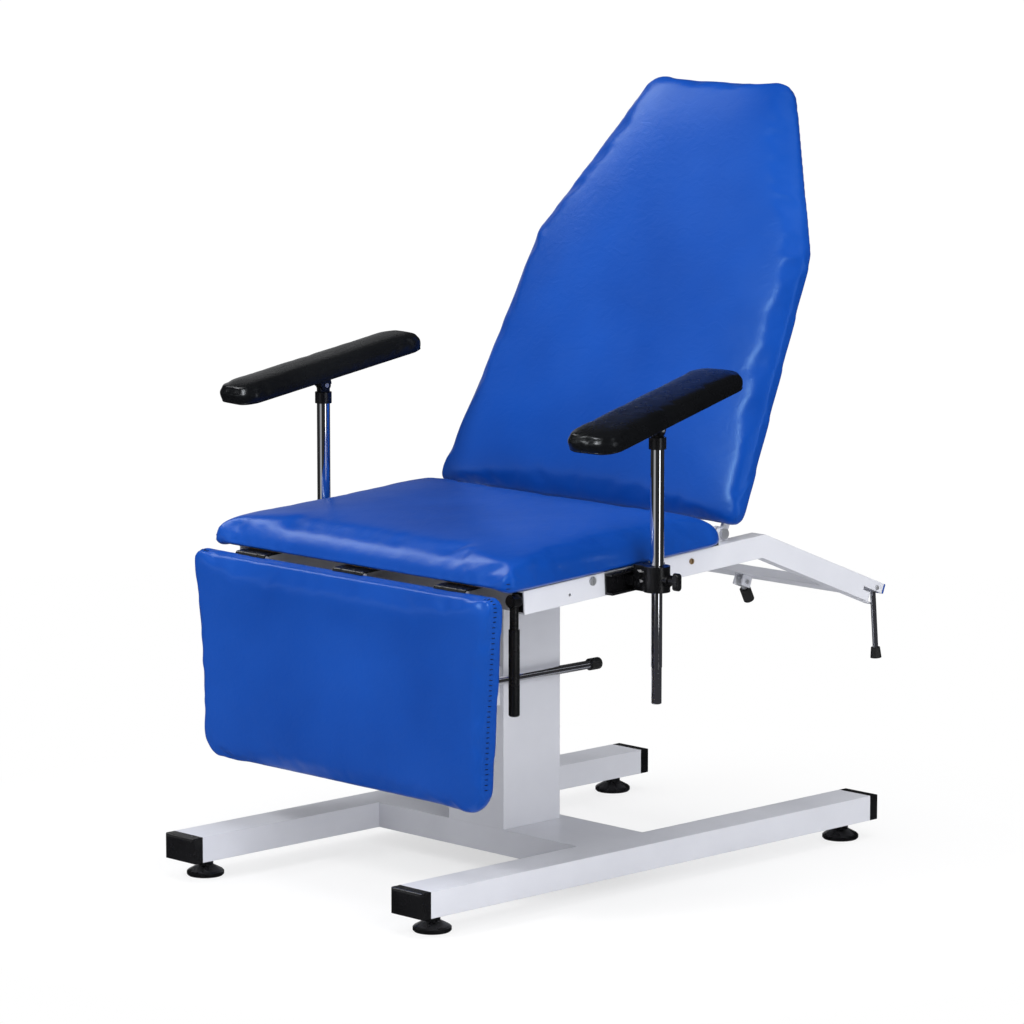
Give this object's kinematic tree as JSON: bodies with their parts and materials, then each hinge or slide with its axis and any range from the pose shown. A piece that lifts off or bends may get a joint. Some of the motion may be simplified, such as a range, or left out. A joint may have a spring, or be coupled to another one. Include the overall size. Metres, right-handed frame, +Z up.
{
  "type": "blood draw recliner chair",
  "caption": "Free-standing treatment recliner with reclining tapered backrest, lifting leg panel, height-adjustable swivelling armrests and an H-shaped tube base on levelling feet.",
  "frame": {"origin": "on the floor, in the middle of the base's footprint", "axes": "+Z up, +Y towards the head end, +X to the patient's left"},
  "size_m": [0.7908, 0.902, 1.0851],
  "materials": {
    "white_steel": "satin powder coat, cool white",
    "black_plastic": "moulded, fine grain",
    "black_steel": "semi-gloss black",
    "grey_steel": "zinc plated",
    "chrome": "polished chrome",
    "blue_vinyl": "semi-gloss blue upholstery vinyl with a fine grain",
    "black_vinyl": "semi-gloss black upholstery vinyl",
    "plywood": "birch plywood",
    "rubber": "matt black rubber",
    "lining": "black non-woven lining cloth over the back of each cushion board",
    "blue_plastic": "moulded blue plug"
  },
  "bodies": {
    "base": {"base_rail_left": "white_steel", "base_rail_right": "white_steel", "base_cross_beam": "white_steel", "base_end_caps": "black_plastic", "column": "white_steel", "column_head_plate": "white_steel", "stay_rod_guide": "white_steel", "seat_rail_left": "white_steel", "seat_rail_right": "white_steel", "seat_cross_tubes": "white_steel", "arm_cross_bar": "white_steel", "arm_end_plugs": "blue_plastic", "seat_board": "plywood", "seat_cushion": "blue_vinyl", "seat_board_spacers": "rubber", "frame_screws": "grey_steel", "leg_hinge_fixed_leaves": "black_steel", "leg_hinge_pins": "grey_steel", "backrest_hinge_lugs": "white_steel", "backrest_hinge_pins": "grey_steel", "spring_lower_bracket": "black_steel", "front_lever_bolt": "black_steel", "pivot_pins": "grey_steel", "armrest_channels": "black_steel", "armrest_clamps": "black_plastic", "armrest_clamp_bolts": "chrome"},
    "leg_rest": {"leg_board": "plywood", "leg_cushion": "blue_vinyl", "leg_hinge_moving_leaves": "black_steel", "stay_rod_bracket": "black_steel"},
    "stay": {"stay_rod": "chrome", "stay_rod_cap": "rubber"},
    "backrest": {"backrest_board": "plywood", "backrest_cushion": "blue_vinyl", "backrest_hinge_arms": "white_steel", "spring_upper_bracket": "black_steel"},
    "spring_cylinder": {"gas_spring_cylinder": "black_steel"},
    "spring_rod": {"gas_spring_rod": "chrome"},
    "front_lever": {"front_lever": "black_steel", "front_lever_grip": "black_plastic"},
    "release_handle": {"release_handle": "grey_steel", "release_handle_grip": "rubber"},
    "arm_lever": {"arm_lever": "chrome", "arm_lever_tip": "rubber"},
    "foot_front_left": {"levelling_foot_front_left": "black_steel"},
    "foot_front_right": {"levelling_foot_front_right": "black_steel"},
    "foot_rear_left": {"levelling_foot_rear_left": "black_steel"},
    "foot_rear_right": {"levelling_foot_rear_right": "black_steel"},
    "post_left": {"armrest_post_left": "chrome"},
    "hub_left": {"armrest_hub_left": "black_plastic", "armrest_tilt_pin_left": "grey_steel"},
    "pad_left": {"armrest_plate_left": "black_steel", "armrest_pad_left": "black_vinyl"},
    "knob_left": {"armrest_knob_left": "black_plastic"},
    "post_right": {"armrest_post_right": "chrome"},
    "hub_right": {"armrest_hub_right": "black_plastic", "armrest_tilt_pin_right": "grey_steel"},
    "pad_right": {"armrest_plate_right": "black_steel", "armrest_pad_right": "black_vinyl"},
    "knob_right": {"armrest_knob_right": "black_plastic"}
  },
  "joints": [
    {"name": "leg_rest_lift", "type": "hinge", "parent": "base", "child": "leg_rest", "pos_m": [0, -0.3384, 0.4453], "axis": [-1, 0, 0], "range_deg": [0, 75]},
    {"name": "stay_rod_swing", "type": "hinge", "parent": "leg_rest", "child": "stay", "pos_m": [0.066, -0.323, 0.277], "axis": [1, 0, 0], "range_deg": [0, 56.66]},
    {"name": "backrest_recline", "type": "hinge", "parent": "base", "child": "backrest", "pos_m": [0, 0.114, 0.479], "axis": [-1, 0, 0], "range_deg": [0, 58]},
    {"name": "spring_swing", "type": "hinge", "parent": "base", "child": "spring_cylinder", "pos_m": [0, 0.36433, 0.39557], "axis": [1, 0, 0], "range_deg": [0, 18.54]},
    {"name": "spring_stroke", "type": "slide", "parent": "spring_cylinder", "child": "spring_rod", "axis": [0, -0.8042, 0.5944], "range_m": [-0.05191, 0]},
    {"name": "front_lever_swing", "type": "hinge", "parent": "base", "child": "front_lever", "pos_m": [0.275, -0.2955, 0.435], "axis": [0, -1, 0], "range_deg": [-20, 70]},
    {"name": "release_handle_pull", "type": "hinge", "parent": "base", "child": "release_handle", "pos_m": [0.082, 0.35145, 0.36302], "axis": [1, 0, 0], "range_deg": [-15, 15], "stiffness_Nm_per_rad": 0.5},
    {"name": "arm_lever_swing", "type": "hinge", "parent": "base", "child": "arm_lever", "pos_m": [0.277, 0.41363, 0.37067], "axis": [1, 0, 0], "range_deg": [-30, 20]},
    {"name": "foot_front_left_height", "type": "slide", "parent": "base", "child": "foot_front_left", "axis": [0, 0, 1], "range_m": [-0.012, 0]},
    {"name": "foot_front_right_height", "type": "slide", "parent": "base", "child": "foot_front_right", "axis": [0, 0, 1], "range_m": [-0.012, 0]},
    {"name": "foot_rear_left_height", "type": "slide", "parent": "base", "child": "foot_rear_left", "axis": [0, 0, 1], "range_m": [-0.012, 0]},
    {"name": "foot_rear_right_height", "type": "slide", "parent": "base", "child": "foot_rear_right", "axis": [0, 0, 1], "range_m": [-0.012, 0]},
    {"name": "armrest_height_left", "type": "slide", "parent": "base", "child": "post_left", "axis": [0, 0, 1], "range_m": [0, 0.1]},
    {"name": "armrest_swivel_left", "type": "hinge", "parent": "post_left", "child": "hub_left", "pos_m": [0.333, -0.085, 0.637], "axis": [0, 0, 1], "range_deg": [-90, 90]},
    {"name": "armrest_tilt_left", "type": "hinge", "parent": "hub_left", "child": "pad_left", "pos_m": [0.333, -0.085, 0.649], "axis": [0.9903, 0.1392, 0], "range_deg": [-25, 25]},
    {"name": "armrest_knob_turn_left", "type": "hinge", "parent": "base", "child": "knob_left", "pos_m": [0.333, -0.085, 0.447], "axis": [1, 0, 0], "range_deg": [0, 180]},
    {"name": "armrest_height_right", "type": "slide", "parent": "base", "child": "post_right", "axis": [0, 0, 1], "range_m": [0, 0.1]},
    {"name": "armrest_swivel_right", "type": "hinge", "parent": "post_right", "child": "hub_right", "pos_m": [-0.333, -0.085, 0.637], "axis": [0, 0, 1], "range_deg": [-90, 90]},
    {"name": "armrest_tilt_right", "type": "hinge", "parent": "hub_right", "child": "pad_right", "pos_m": [-0.333, -0.085, 0.649], "axis": [0.9903, -0.1392, 0], "range_deg": [-25, 25]},
    {"name": "armrest_knob_turn_right", "type": "hinge", "parent": "base", "child": "knob_right", "pos_m": [-0.333, -0.085, 0.447], "axis": [-1, 0, 0], "range_deg": [0, 180]}
  ],
  "couplings": [
    {"joint": "stay_rod_swing", "follows": "leg_rest_lift", "ratio": 0.74879},
    {"joint": "spring_swing", "follows": "backrest_recline", "ratio": 0.31099},
    {"joint": "spring_stroke", "follows": "backrest_recline", "m_per_rad": -0.05029}
  ]
}
